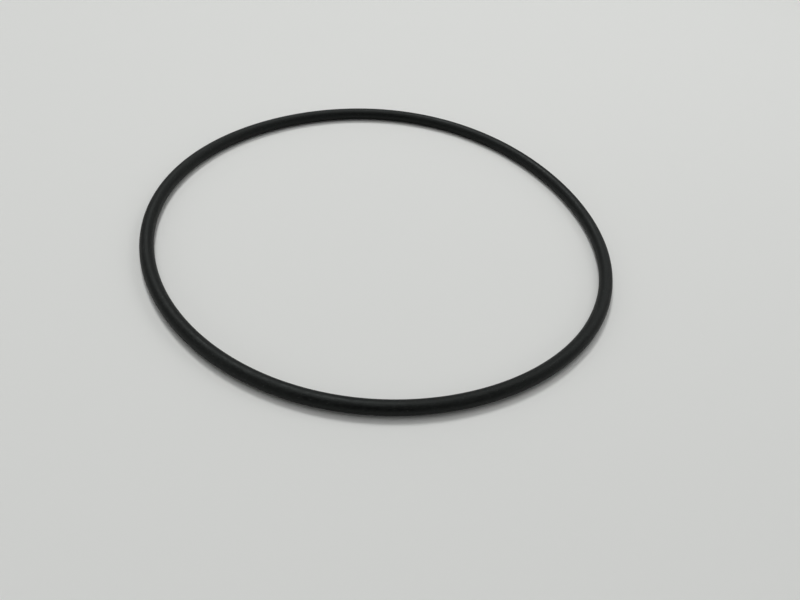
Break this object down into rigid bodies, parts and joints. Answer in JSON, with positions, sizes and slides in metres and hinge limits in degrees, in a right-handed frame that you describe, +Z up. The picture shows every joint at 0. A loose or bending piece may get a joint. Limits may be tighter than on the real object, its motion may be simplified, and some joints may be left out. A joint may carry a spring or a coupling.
{
  "type": "rubber o-ring",
  "caption": "Large black rubber o-ring with a thin round section, moulded in one piece, for sealing a groove or a flange.",
  "frame": {"origin": "on the ring's axis, level with the surface that the ring lies on", "axes": "+Z up along the ring's axis; +X and +Y in the plane of the ring, which is round about +Z"},
  "size_m": [0.1906, 0.1906, 0.0053],
  "materials": {
    "rubber": "satin black, smooth as moulded"
  },
  "bodies": {
    "root": {"o_ring": "rubber"}
  },
  "joints": []
}
